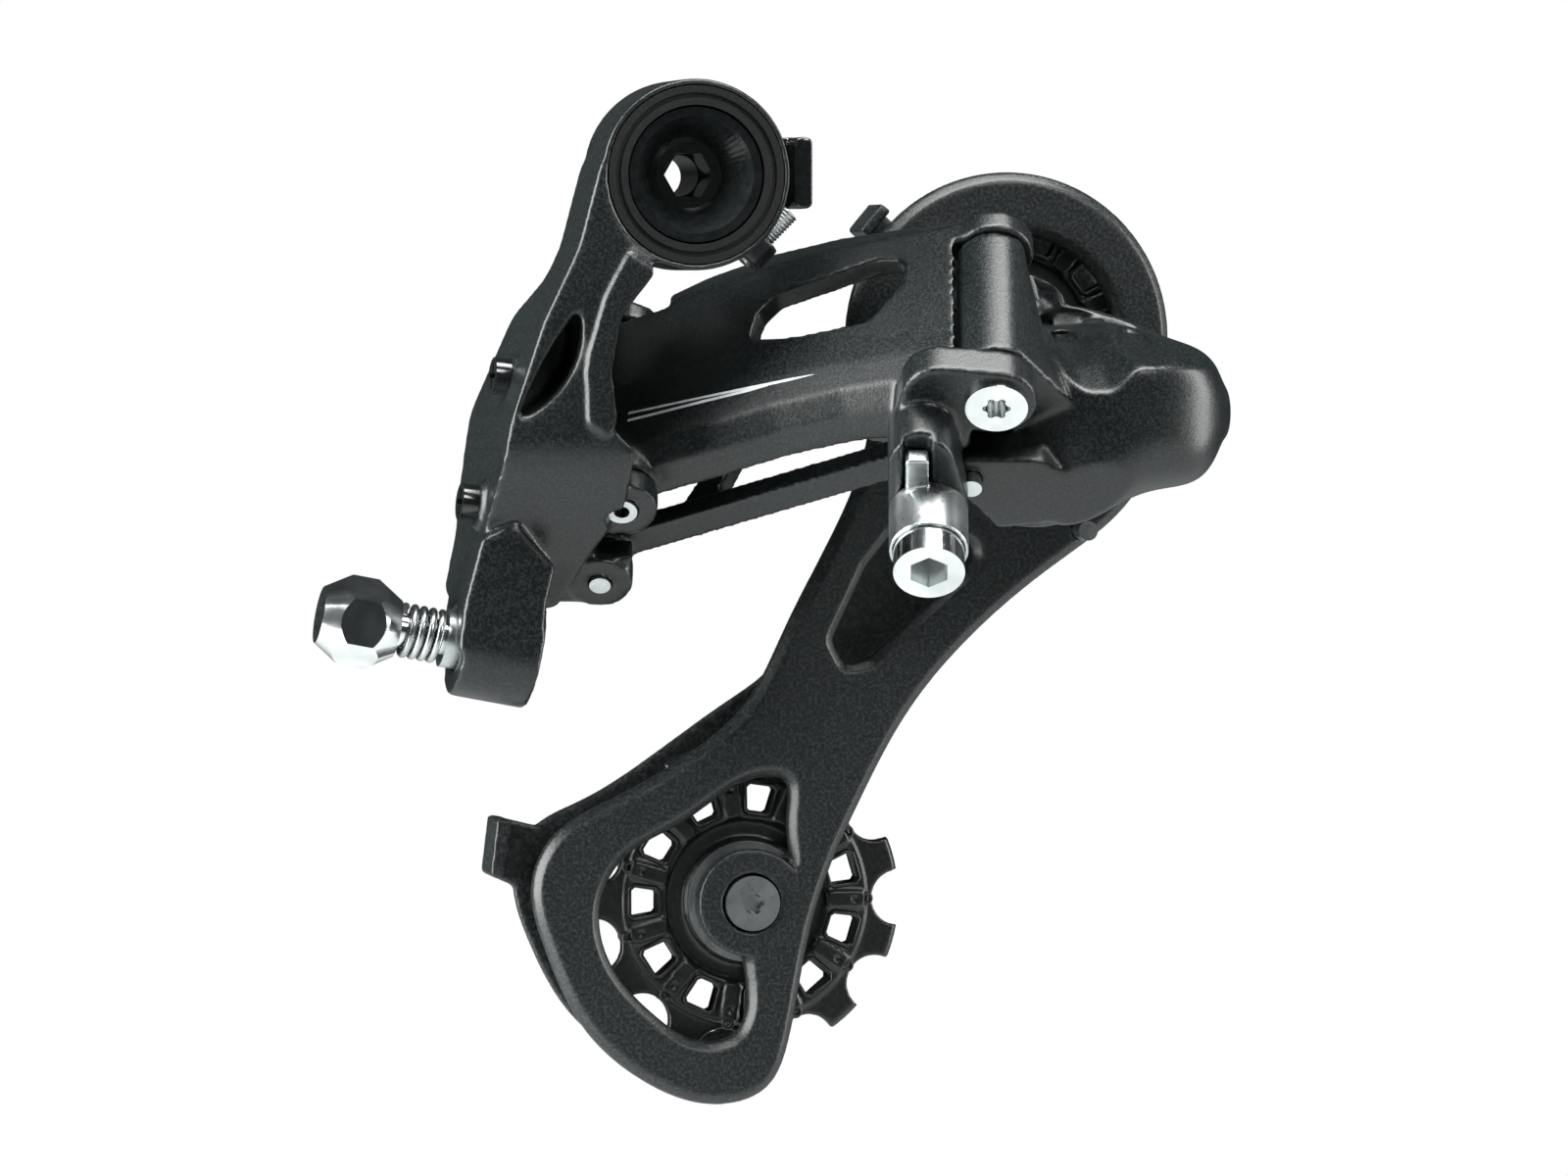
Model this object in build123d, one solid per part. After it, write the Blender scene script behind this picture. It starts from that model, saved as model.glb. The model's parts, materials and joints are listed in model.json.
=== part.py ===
from build123d import *
import math
import os

# Rear bicycle derailleur. Millimetres. +X is forward on the bicycle, +Y is inboard, towards the
# wheel, and +Z is up. The origin is on the hanger bolt's axis, at the hanger's outer face.

# ---- running and seating clearances -------------------------------------------------------
running_fit = 0.05          # radial, a shaft turning in its bore
seat_fit = 0.01             # radial, a pin fixed in its bore
face_gap = 0.3              # between faces that slide past each other
open_pivot_gap = 0.35       # radial, where the linkage is opened for the motion model
end_gap = 0.02              # between the ends of pieces that stand still together
swing_room = 0.6            # between a link's end and the walls beside it
through = 60.0              # longer than any piece, for cuts that go right through
coil_end_room = 0.6         # between a spring's end coils and their seats
recess_depth = 1.2          # of a cross in a small screw
recess_width = 0.7

# ---- hanger bolt and its boss --------------------------------------------------------------
hanger_thread_radius = 5.0
hanger_thread_length = 8.5
bolt_shank_radius = 6.0
bolt_head_radius = 9.3
bolt_head_height = 6.2
bolt_rim_wall = 1.2         # round the mouth of the cone in the head
bolt_cone_floor_radius = 4.6
bolt_floor = 1.0
bolt_socket_flats = 6.0
bolt_socket_end_y = -4.0
bolt_bore_radius = 2.9
boss_radius = 13.2
boss_outer_y = -18.0
boss_inner_y = -2.7
boss_recess_radius = 12.3
boss_recess_depth = 2.4
boss_web = 2.0
bushing_wall = 1.5
spring_room_radius = 11.4
seal_height = 1.9
seal_proud = 0.5            # of the bolt head's face
seal_groove_width = 0.7
b_spring_radius = 9.6
b_spring_wire = 0.8
b_spring_turns = 2
rim_height = 0.9            # of the rim on the upper body, proud of its wall
rim_root = 7.0              # how deep the rim reaches into the wall
leaf_depth = 10.0
groove_depth = 6.0
stop_plate_thickness = 1.5
stop_plate_radius = 12.0
stop_tab_low = -4.6
stop_tab_high = 5.4
stop_tab_outer_x = 18.5
stop_tab_width = 2.6
stop_tab_reach = 7.0
circlip_radius = 7.0
circlip_mouth = 3.0
circlip_thickness = 0.8
circlip_y = -0.1            # of its inboard face
circlip_groove_depth = 0.4

# ---- linkage: four parallel pins on a slanted direction ------------------------------------
pin_heading = 12.5          # degrees the pins lean forward as they run inboard
pin_rise = 43.2             # degrees they climb as they run inboard
pin_foot = (-8.9, -9.0, -46.5)      # lower end of the upper body's outer pin
link_reach = (51.65, 20.65)         # outer link, from its upper pin to its lower pin
pin_spacing = (-3.33, -13.6)        # from each outer pin to the inner pin beside it
clevis_top = -33.4          # along the pins from pin_foot; the pins' feet are at 0
ear_thickness = 3.8
link_barrel_radius = 5.0
inner_barrel_radius = 4.4
outer_pin_radius = 2.15
outer_pin_bore_radius = 1.1
inner_pin_radius = 1.5
lower_barrel_radius = 5.3
lower_barrel_low = -5.4
lower_barrel_high = -29.0
lower_clevis_top = -33.0
lower_eye_radius = 5.6      # of the outer link's two lower eyes
lower_ear_end = 1.0         # foot of the lower body's inner ear
inner_pin_proud = 2.8
side_gap = 0.4              # between the links' ends and the lower body
link_groove_depth = 0.6
inner_link_thickness = 3.0
inner_rail_thickness = 4.4
torx_head_radius = 4.3
torx_head_height = 0.9
torx_depth = 3.4
return_spring_radius = 2.9
return_spring_wire = 0.6
return_spring_turns = 7
return_spring_span = (-23.6, -11.4)     # along the pins, between the inner link's two barrels

# ---- cable clamp ---------------------------------------------------------------------------
clamp_place = (42.4, 8.0)   # in the pins' plane, from pin_foot
clamp_seat = 7.6
clamp_lug_radius = 5.5
clamp_thread_end = 1.8      # where the bolt's tip stops in the lug
clamp_thread_radius = 2.5
clamp_head_radius = 4.9
clamp_head_height = 11.0
clamp_socket_flats = 5.0
clamp_socket_depth = 5.0
clamp_cup_height = 7.0      # of the washer's wall round the bolt's head
clamp_cup_wall = 0.5
clamp_washer_thickness = 1.2
clamp_tongue = (39.2, 42.4, 18.4)       # two sides and the tip, in the pins' plane
clamp_tongue_drop = 1.2

# ---- barrel adjuster -----------------------------------------------------------------------
adjuster_start = (-50.5, -4.0, -60.7)
adjuster_drop = 11.0        # degrees its axis falls towards the front
adjuster_knob_length = 11.0
adjuster_knob_radius = 6.3
adjuster_stem_radius = 2.4
adjuster_spring_length = 6.6
adjuster_bush_length = 4.4
adjuster_bush_radius = 4.1
adjuster_bush_depth = 2.4   # how far the bush sits in the eye
adjuster_eye_length = 8.6
adjuster_eye_radius = 7.7
adjuster_waist_radius = 4.0
adjuster_bush_notch = (3.0, 1.8)        # width and length
adjuster_spring_radius = 3.3
adjuster_spring_turns = 4
cable_radius = 0.8
stem_end_room = 1.5
housing_radius = 2.05
housing_depth = 6.5
wire_radius = 0.55

# ---- limit screws and angle screw ----------------------------------------------------------
limit_head_radius = 2.6
limit_head_height = 2.2
limit_thread_radius = 1.5
limit_length = 8.0
limit_seat_height = 5.0
limit_seat_wall = 0.9
angle_screw_radius = 1.5
angle_lug_wall = 1.2
angle_lug_height = 4.6
angle_screw_foot = (8.6, -6.5, -11.9)
angle_screw_length = 9.6

# ---- cage pivot and lower body -------------------------------------------------------------
cage_pivot = (50.6, -34.9)  # X and Z
cage_axle_radius = 4.0
cage_axle_outer_y = -14.0
cage_axle_flange_radius = 6.5
housing_flange_radius = 14.4
housing_face_y = 5.0
cage_spring_room_radius = 9.6
cage_spring_room_depth = 7.3
cage_spring_radius = 7.6
cage_spring_wire = 0.8
cage_spring_turns = 2
stop_pin_place = (60.8, -50.2)
stop_pin_radius = 1.4
stop_pin_start_y = 2.4
stop_pin_end_y = 8.6
# sections of the lower body: X, outboard and inboard Y, low and high Z, corner radius
nose_stations = (
    (43.0, -23.0, 4.6, -44.0, -27.0, 5.0),
    (49.0, -28.0, 4.8, -48.0, -20.0, 8.0),
    (55.0, -31.0, 4.6, -47.6, -18.0, 9.0),
    (61.5, -31.4, 2.6, -44.4, -19.2, 9.5),
    (67.5, -29.4, -0.6, -43.2, -21.4, 8.0),
    (72.4, -25.6, -5.4, -40.6, -25.0, 6.5),
    (75.4, -20.8, -10.0, -36.6, -29.6, 3.2),
)
pocket_places = ((55.4, 4.0), (62.6, 4.6))      # X and width of the two pockets in its top
pocket_length = 9.5
pocket_y = -15.5
pocket_floor_z = -24.5

# ---- chain cage ----------------------------------------------------------------------------
upper_pulley_place = (51.3, -22.8)
lower_pulley_place = (12.8, -102.8)
outer_plate_y = 6.4
outer_plate_thickness = 3.0
plate_chamfer = 1.3
plate_gap = 7.2
inner_plate_thickness = 2.0
guide_disc_radius = 23.6
guide_window_outer = 14.6
guide_window_inner = 9.2
hub_lobe_radius = 7.7
inner_disc_radius = 16.6
bolt_seat_depth = 1.6
guard_gap = 0.4             # between the folded tabs and the outer plate
over_tab_turn = 140.0       # degrees round the upper pulley, from forward
over_tab_width = 5.0
over_tab_room = 2.4         # past the teeth
over_tab_fold = 1.7

# ---- pulleys -------------------------------------------------------------------------------
tooth_count = 11
chain_pitch = 12.7
roller_radius = 3.95
tooth_height = 0.16         # of the tips, over the pitch circle
tooth_thickness = 2.3
tip_chamfer = 0.7
web_thickness = 3.4
web_radius = 17.6
web_groove_radius = 11.6
window_inner = 12.6
window_outer = 16.6
window_width = 4.2
rim_groove = 0.6
pad_width = 2.2
pad_height = 0.5
pad_overlap = 1.2           # of a pad, past the windows' span
dimple_radius = 0.5
hub_radius = 8.3
cap_radius = 8.6
cap_thickness = 0.5
pulley_side_gap = 0.6
bushing_radius = 4.0
pulley_bolt_radius = 2.45
pulley_bolt_head_radius = 3.9
pulley_bolt_head_height = 2.2
pulley_bolt_recess = 1.8

# ---- derived places ------------------------------------------------------------------------
heading = math.radians(pin_heading)
rise = math.radians(pin_rise)
across = (math.cos(heading), -math.sin(heading), 0.0)
down_pins = (
    -math.sin(heading) * math.cos(rise),
    -math.cos(heading) * math.cos(rise),
    -math.sin(rise),
)
pin_plane = Plane(origin=pin_foot, x_dir=across, z_dir=down_pins)
upper_outer = (0.0, 0.0)
upper_inner = pin_spacing
lower_outer = link_reach
lower_inner = (link_reach[0] + pin_spacing[0], link_reach[1] + pin_spacing[1])
link_angle = math.degrees(math.atan2(link_reach[1], link_reach[0]))
link_length = math.hypot(*link_reach)
link_low = -ear_thickness - 0.5
link_high = clevis_top + face_gap
bolt_head_y = boss_outer_y + 0.8
bolt_neck_y = bolt_head_y + bolt_head_height
stop_plate_outer_y = boss_inner_y + face_gap
stop_plate_inner_y = stop_plate_outer_y + stop_plate_thickness
bushing_outer_radius = bolt_shank_radius + bushing_wall
inner_plate_y = outer_plate_y + outer_plate_thickness + plate_gap
inner_plate_far_y = inner_plate_y + inner_plate_thickness
chain_line_y = outer_plate_y + outer_plate_thickness + plate_gap / 2
pulley_pitch_radius = chain_pitch / 2 / math.sin(math.pi / tooth_count)
tooth_tip_radius = pulley_pitch_radius + tooth_height
clamp_washer_radius = clamp_head_radius + running_fit + clamp_cup_wall
bush_start = adjuster_knob_length + adjuster_spring_length
bush_end = bush_start + adjuster_bush_length
adjuster_eye_end = bush_end + adjuster_eye_length
adjuster_axis = (
    math.cos(math.radians(adjuster_drop)),
    0.0,
    -math.sin(math.radians(adjuster_drop)),
)
adjuster_plane = Plane(origin=adjuster_start, z_dir=adjuster_axis)


# ---- helpers -------------------------------------------------------------------------------
def along_y(sketch, start, end):
    """Extrude a sketch drawn in X and Z from one Y to a larger Y."""
    return extrude(Plane.XZ.offset(-end) * sketch, amount=end - start)


def post(x, z, radius, start, end):
    """A round post parallel to Y."""
    return along_y(Pos(x, z) * Circle(radius), start, end)


def along_pins(sketch, start, end):
    """Extrude a sketch drawn across the pins from one depth to a larger one, down the pins."""
    return extrude(pin_plane.offset(start) * sketch, amount=end - start)


def pin_post(place, radius, start, end):
    """A round post parallel to the linkage pins."""
    return along_pins(Pos(*place) * Circle(radius), start, end)


def on_axis(plane, radius, start, end):
    """A round post along a plane's own axis."""
    return extrude(plane.offset(start) * Circle(radius), amount=end - start)


def outline(points, radius=0):
    """A face with straight sides and rounded corners."""
    face = make_face(Polyline(*points, close=True))
    if radius:
        face = fillet(face.vertices(), radius)
    return face


def soft_outline(corners):
    """A face with straight sides, from corners that each hold X, Y and a rounding radius."""
    points = [corner[:2] for corner in corners]
    radii = [corner[2] for corner in corners]
    return make_face(FilletPolyline(*points, radius=radii, close=True))


def capsule(first, first_radius, second, second_radius):
    """The hull of two circles."""
    circles = [Pos(*first) * Circle(first_radius), Pos(*second) * Circle(second_radius)]
    edges = [edge for circle in circles for edge in circle.edges()]
    return make_hull(edges)


def hexagon(flats):
    """A hexagon given by the distance across its flats."""
    return RegularPolygon(flats / 2, 6, major_radius=False)


def coil(plane, radius, wire, start, length, turns):
    """A round-wire coil spring along a plane's axis."""
    path = plane.offset(start).location * Helix(length / turns, length, radius)
    section = Plane(origin=path @ 0, z_dir=path % 0) * Circle(wire)
    return sweep(section, path=path, is_frenet=True)


def link_direction():
    """Unit vector across the pins, from an upper pin to the lower pin of the same link."""
    tilt = math.radians(link_angle)
    tip = pin_plane.from_local_coords(Vector(math.cos(tilt), math.sin(tilt), 0))
    return tip - pin_plane.origin


def link_plane(place):
    """A plane along a link: X runs down the link and Y up the pins, facing outboard."""
    tilt = math.radians(link_angle)
    tip = pin_plane.from_local_coords(Vector(-math.sin(tilt), math.cos(tilt), 0))
    origin = pin_plane.from_local_coords(Vector(*place, 0))
    return Plane(origin=origin, x_dir=link_direction(), z_dir=tip - pin_plane.origin)


def save(shape, name):
    export_step(shape, "parts/" + name + ".step")


# ---- hanger end ----------------------------------------------------------------------------
def make_hanger_bolt():
    head = post(0, 0, bolt_head_radius, bolt_head_y, bolt_neck_y)
    shank = post(0, 0, bolt_shank_radius, bolt_neck_y, stop_plate_outer_y)
    thread = post(0, 0, hanger_thread_radius, stop_plate_outer_y, hanger_thread_length)
    cone_depth = bolt_head_height - bolt_floor
    mouth = Plane.XZ.offset(-bolt_head_y).rotated((180, 0, 0))
    floor = mouth.offset(cone_depth)
    cone = loft([mouth * Circle(bolt_head_radius - bolt_rim_wall), floor * Circle(bolt_cone_floor_radius)])
    socket = along_y(hexagon(bolt_socket_flats), bolt_head_y + cone_depth, bolt_socket_end_y)
    bore = post(0, 0, bolt_bore_radius, bolt_head_y, hanger_thread_length)
    clip_low = circlip_y - circlip_thickness
    ring = post(0, 0, hanger_thread_radius, clip_low, circlip_y)
    core = post(0, 0, hanger_thread_radius - circlip_groove_depth, clip_low, circlip_y)
    return head + shank + thread - cone - socket - bore - (ring - core)


def make_hanger_circlip():
    inner = hanger_thread_radius - circlip_groove_depth + seat_fit
    mouth = Pos(0, -circlip_radius) * Rectangle(circlip_mouth, circlip_radius + 1)
    ring = Circle(circlip_radius) - Circle(inner) - mouth
    return along_y(ring, circlip_y - circlip_thickness, circlip_y)


def make_b_pivot_bushing():
    ring = Circle(bushing_outer_radius) - Circle(bolt_shank_radius + seat_fit)
    return along_y(ring, bolt_neck_y + end_gap, stop_plate_outer_y - end_gap)


def make_stop_plate():
    ring = Circle(stop_plate_radius) - Circle(hanger_thread_radius + seat_fit)
    middle = (stop_tab_low + stop_tab_high) / 2
    height = stop_tab_high - stop_tab_low
    arm = Pos(stop_tab_outer_x / 2, middle) * Rectangle(stop_tab_outer_x, height)
    arm = arm - Circle(stop_plate_radius - 1)
    plate = along_y(ring + arm, stop_plate_outer_y, stop_plate_inner_y)
    tab_x = stop_tab_outer_x - stop_tab_width / 2
    tab = Pos(tab_x, middle) * RectangleRounded(stop_tab_width, height, 1.0)
    return plate + along_y(tab, stop_plate_inner_y - stop_tab_reach, stop_plate_inner_y)


def make_b_pivot_spring():
    start = bolt_neck_y + boss_web + b_spring_wire + coil_end_room
    length = stop_plate_outer_y - b_spring_wire - coil_end_room - start
    axis = Plane(origin=(0, 0, 0), x_dir=(1, 0, 0), z_dir=(0, 1, 0))
    return coil(axis, b_spring_radius, b_spring_wire, start, length, b_spring_turns)


def make_dust_seal():
    outer = boss_recess_radius - seat_fit
    inner = bolt_head_radius + face_gap
    middle = (outer + inner) / 2
    groove = Circle(middle + seal_groove_width / 2) - Circle(middle - seal_groove_width / 2)
    low = bolt_head_y - seal_proud
    seal = along_y(Circle(outer) - Circle(inner), low, low + seal_height)
    return seal - along_y(groove, low, low + seal_proud)


def make_angle_screw():
    axis = Plane(origin=angle_screw_foot, z_dir=(1, 0, 1))
    body = on_axis(axis, angle_screw_radius, 0, angle_screw_length)
    return body - extrude(axis * Rectangle(recess_width, 3 * angle_screw_radius), amount=recess_depth)


# ---- upper body ----------------------------------------------------------------------------
def upper_spine():
    """The wall from the hanger boss down the rear side, cut from its side and rear views."""
    side = soft_outline([
        (-6, 9, 1), (-13.4, 2, 6), (-16.6, -10, 10), (-21.6, -20.5, 12), (-26.2, -34.5, 10), (-28.6, -50, 10),
        (-31.0, -58, 3), (-29, -62, 1), (-17, -60, 1), (-9, -46, 3), (-8.6, -38, 2), (-14.4, -32, 2),
        (-14.2, -21, 6), (-9.6, -12.4, 3), (0, -12, 0.5), (0, 9, 1),
    ])
    rear = soft_outline([
        (boss_outer_y, 9, 0.5), (boss_outer_y, -39, 9), (-6, -54, 6), (-3, -62, 2), (7, -62, 2), (16, -46, 5),
        (17, -32, 4), (8, -19, 5), (boss_inner_y, -14, 3), (boss_inner_y, 9, 0.5),
    ])
    rear_plane = Plane(origin=(-40, 0, 0), x_dir=(0, 1, 0), z_dir=(1, 0, 0))
    return along_y(side, boss_outer_y, 20) & extrude(rear_plane * rear, amount=50)


def upper_rim():
    """The proud rim down the front edge of the outboard wall."""
    band = soft_outline([
        (-9.6, -10.5, 0.5), (-13.0, -17, 5), (-15.6, -26, 9), (-15.4, -34.2, 1.2), (-12.2, -36.4, 1.2),
        (-11.2, -33.6, 1.5), (-12.0, -27, 8), (-10.6, -19.5, 5), (-5.6, -13.2, 1),
    ])
    return along_y(band, boss_outer_y - rim_height, boss_outer_y + rim_root)


def upper_clevis():
    """The wall and the two ears that hold the linkage's upper pins."""
    wall = outline(
        [(-19.5, -15), (-18, -7), (-15, 2), (-12, 9), (-9, 14), (-2.5, 14), (-6, 8),
         (-8.2, 3), (-9.2, -5), (-9.2, -19), (-14, -19)],
        0.8,
    )
    sheet = outline(
        [(-18.6, -14.5), (-15.5, -5.5), (-11, 1.5), (-2.2, 7.2), (3, 3), (1, -12), (-3, -18), (-12, -18)],
        1.5,
    )
    upper = sheet + Circle(link_barrel_radius)
    upper = upper + Pos(*upper_inner) * Circle(inner_barrel_radius + 0.2)
    notch = capsule((-2.6, -7.1), 2.2, (8, -7.1), 2.2)
    lower_ear = along_pins(upper - notch, -ear_thickness, 0)
    lower_ear += pin_post(upper_inner, inner_barrel_radius + 0.2, -ear_thickness, 1.0)
    lower_ear += along_pins(capsule(upper_inner, 4.4, (-9.5, -14.4), 3.4), -ear_thickness, 0.6)
    upper_ear = along_pins(upper, clevis_top - ear_thickness, clevis_top)
    return along_pins(wall, clevis_top - ear_thickness, 0.0) + lower_ear + upper_ear


def make_upper_body():
    boss = post(0, 0, boss_radius, boss_outer_y, boss_inner_y)
    body = boss + upper_spine() + upper_rim() + upper_clevis()
    # the eye that the adjuster screws into, with the neck that carries it
    body += on_axis(adjuster_plane, adjuster_eye_radius, bush_end - adjuster_bush_depth, adjuster_eye_end)
    neck = soft_outline([
        (-29.0, -50, 2), (-31.4, -59, 3), (-32.4, -66, 1), (-20.6, -66, 1), (-19.8, -59, 2),
        (-18.6, -54, 1), (-24, -48, 1),
    ])
    eye_y = adjuster_start[1]
    body += along_y(neck, eye_y - adjuster_eye_radius, eye_y + adjuster_eye_radius)
    body -= on_axis(adjuster_plane, adjuster_bush_radius + face_gap, bush_start - 2, bush_end + seat_fit)
    # seats for the two limit screws
    for plane in limit_planes():
        body += on_axis(plane, limit_head_radius + limit_seat_wall, end_gap, limit_seat_height)
    # lug for the angle screw
    screw_axis = Plane(origin=angle_screw_foot, z_dir=(1, 0, 1))
    body += on_axis(screw_axis, angle_screw_radius + angle_lug_wall, face_gap, angle_lug_height)
    # room for the bolt, the seal, the bushing and the spring
    body -= post(0, 0, boss_recess_radius, boss_outer_y - 1, boss_outer_y + boss_recess_depth)
    body -= post(0, 0, bolt_head_radius + face_gap, boss_outer_y, bolt_neck_y + face_gap)
    body -= post(0, 0, bushing_outer_radius + running_fit, boss_outer_y, boss_inner_y)
    body -= post(0, 0, spring_room_radius, bolt_neck_y + boss_web, boss_inner_y + 1)
    # pins, link ends, adjuster stem and screws
    body -= pin_post(upper_outer, outer_pin_radius + seat_fit, -through, through)
    body -= pin_post(upper_inner, inner_pin_radius + seat_fit, -through, through)
    body -= pin_post(upper_outer, link_barrel_radius + swing_room, clevis_top, -ear_thickness)
    body -= pin_post(upper_inner, inner_barrel_radius + swing_room, clevis_top, -ear_thickness)
    body -= on_axis(adjuster_plane, adjuster_stem_radius + running_fit, 0, adjuster_eye_end + 1)
    body -= on_axis(adjuster_plane, adjuster_knob_radius + swing_room, 0, adjuster_knob_length)
    for plane in limit_planes():
        body -= on_axis(plane, limit_thread_radius + running_fit, 0, limit_length + face_gap)
        body -= on_axis(plane, limit_head_radius + face_gap, -4 * limit_head_height, end_gap)
    body -= on_axis(screw_axis, angle_screw_radius + running_fit, 0, angle_screw_length)
    body -= rear_pockets()
    return body


def rear_pockets():
    """A leaf-shaped pocket and a groove, with a rib between them, on the outboard side."""
    leaf = make_face(
        [ThreePointArc((-16.4, -18.4), (-20.6, -24.4), (-25.0, -33.6)),
         ThreePointArc((-25.0, -33.6), (-18.4, -28.6), (-16.4, -18.4))]
    )
    groove = outline([(-12.6, -11.4), (-16.4, -15.6), (-19.2, -19.4), (-23.4, -26.6), (-22.2, -26.0),
                      (-18.2, -19.0), (-15.4, -14.8), (-11.8, -10.6)])
    start = boss_outer_y - 1
    pockets = along_y(leaf, start, boss_outer_y + leaf_depth)
    return pockets + along_y(groove, start, boss_outer_y + groove_depth)


def limit_planes():
    """The two limit screws point forward from the rear edge of the upper body."""
    high = Plane(origin=(-24.4, -6.0, -28.0), z_dir=(1, 0.05, -0.12))
    low = Plane(origin=(-29.0, -6.0, -45.4), z_dir=(1, 0.05, -0.12))
    return [high, low]


def make_limit_screw(plane):
    head = on_axis(plane, limit_head_radius, -limit_head_height, 0)
    thread = on_axis(plane, limit_thread_radius, 0, limit_length)
    length = 1.4 * limit_head_radius
    cross = Rectangle(recess_width, length) + Rectangle(length, recess_width)
    return head + thread - extrude(plane.offset(-limit_head_height) * cross, amount=recess_depth)


# ---- barrel adjuster -----------------------------------------------------------------------
def make_barrel_adjuster():
    flats = math.sqrt(3) * adjuster_knob_radius
    knob = extrude(adjuster_plane * hexagon(flats), amount=adjuster_knob_length)
    third = adjuster_knob_length / 3
    waist = Circle(adjuster_waist_radius)
    belly = Circle(adjuster_knob_radius)
    rear_cone = [adjuster_plane * waist, adjuster_plane.offset(third) * belly]
    front_cone = [adjuster_plane.offset(2 * third) * belly, adjuster_plane.offset(3 * third) * waist]
    middle = on_axis(adjuster_plane, adjuster_knob_radius, third, 2 * third)
    knob = knob & (loft(rear_cone) + middle + loft(front_cone))
    stem_end = adjuster_eye_end - stem_end_room
    stem = on_axis(adjuster_plane, adjuster_stem_radius, adjuster_knob_length, stem_end)
    socket = on_axis(adjuster_plane, housing_radius, 0, housing_depth)
    cable_bore = on_axis(adjuster_plane, cable_radius, 0, stem_end)
    return knob + stem - socket - cable_bore


def make_adjuster_spring():
    end_room = wire_radius + 0.5 * face_gap
    start = adjuster_knob_length + end_room
    length = adjuster_spring_length - 2 * end_room
    return coil(adjuster_plane, adjuster_spring_radius, wire_radius, start, length, adjuster_spring_turns)


def make_adjuster_bush():
    wall = Circle(adjuster_bush_radius) - Circle(adjuster_stem_radius + running_fit)
    bush = extrude(adjuster_plane.offset(bush_start) * wall, amount=adjuster_bush_length)
    width, length = adjuster_bush_notch
    notch = Pos(0, -adjuster_bush_radius) * Rectangle(width, adjuster_bush_radius)
    return bush - extrude(adjuster_plane.offset(bush_start + face_gap) * notch, amount=length)


# ---- linkage -------------------------------------------------------------------------------
def link_section(distance, top, low, inner, flange):
    """A C-shaped section across the outer link at one distance along it."""
    outer = link_barrel_radius
    wall = 3.2
    flange_in = flange * 0.34
    points = [
        (outer, top), (outer, low - 8.0), (outer - 1.1, low - 3.6), (outer - 3.6, low - 0.9),
        (outer - 6.4, low), (inner, low), (inner, low - 2.8), (outer - 5.4, low - 3.2),
        (outer - wall, low - 7.0), (outer - wall, top + 0.4), (outer - wall - flange_in, top - flange + 0.8),
        (outer - flange_in - 1.0, top - flange),
    ]
    tilt = math.radians(link_angle)
    station = link_plane((distance * math.cos(tilt), distance * math.sin(tilt)))
    plane = Plane(origin=station.origin, x_dir=station.z_dir, z_dir=station.x_dir)
    return plane * make_face(Polyline(*points, close=True))


def make_outer_link():
    stations = [
        (-1.0, -32.0, -4.4, -3.0, 3.0), (7.0, -33.4, -4.4, -3.2, 4.6), (14.0, -34.6, -4.2, -3.0, 5.4),
        (24.0, -35.2, -4.4, -2.9, 5.6), (34.0, -34.8, -3.6, -3.0, 5.0), (43.0, -33.8, -2.0, -3.6, 3.8),
        (50.0, -32.8, -0.6, -3.6, 2.4), (55.6, -32.4, 0.0, -3.2, 1.6),
    ]
    shell = loft([link_section(*station) for station in stations], ruled=True)
    link = shell + pin_post(upper_outer, link_barrel_radius, link_high, link_low)
    link += pin_post(lower_outer, lower_eye_radius, lower_clevis_top, lower_barrel_high - side_gap)
    # lower ear round the lower pin, and the lug that the cable clamp screws into
    ear = capsule(lower_outer, lower_eye_radius, (44.0, 21.8), 5.4)
    ear = ear + capsule((43.4, 20), 5.2, clamp_place, clamp_lug_radius)
    link += along_pins(ear, lower_barrel_low + side_gap, 0)
    lug = capsule((41.4, 16.5), 4.6, clamp_place, clamp_lug_radius)
    link += along_pins(lug, -1, clamp_seat)
    # room for the lower body's barrel, its inner ear and the upper body's ears
    barrel_room = lower_barrel_radius + swing_room + side_gap
    link -= pin_post(lower_outer, barrel_room, lower_barrel_high - side_gap, lower_barrel_low + side_gap)
    link -= pin_post(lower_inner, inner_barrel_radius + swing_room, -through, lower_ear_end + swing_room)
    link -= pin_post(lower_inner, inner_pin_radius + swing_room, 0, inner_pin_proud + swing_room)
    ear_room = outline([(-20, -30), (6.2, -30), (6.2, 20), (-20, 20)])
    link -= along_pins(ear_room, -through, clevis_top + face_gap)
    link -= along_pins(ear_room, link_low, through)
    # pins, window, groove, and the clamp's thread
    link -= pin_post(upper_outer, outer_pin_radius + running_fit, -through, through)
    link -= pin_post(lower_outer, outer_pin_radius + seat_fit, -through, through)
    link -= pin_post(clamp_place, clamp_thread_radius + seat_fit, clamp_thread_end - face_gap, through)
    left, right, tip = clamp_tongue
    slot = Pos((left + right) / 2, tip) * Rectangle(right - left + 2 * face_gap, 15)
    link -= along_pins(slot, clamp_seat - clamp_tongue_drop - face_gap, clamp_seat + face_gap)
    window = [(19.4, -21.5), (20.6, -26.6), (23.0, -28.9), (37.0, -30.0), (41.0, -28.4), (40.5, -24),
              (36, -18.4), (26.0, -19.5)]
    link -= link_cut(window, 1.4, 0.5)
    groove = [(0, -19.5), (17, -19.4), (31, -16.6), (47, -11.0), (47, -11.6), (31, -17.2), (17, -20.0),
              (0, -20.1)]
    return link - link_cut(groove, 0, link_barrel_radius - link_groove_depth)


def link_cut(points, radius, start):
    """A cut into the outer link's face, from a height over its pins.

    Each point holds a distance along the link and a depth down the pins.
    """
    slope = math.cos(math.radians(link_angle))
    face = outline([(x / slope, -depth) for x, depth in points], radius)
    return extrude(link_plane(upper_outer).offset(start) * face, amount=link_barrel_radius + 3 - start)


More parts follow.
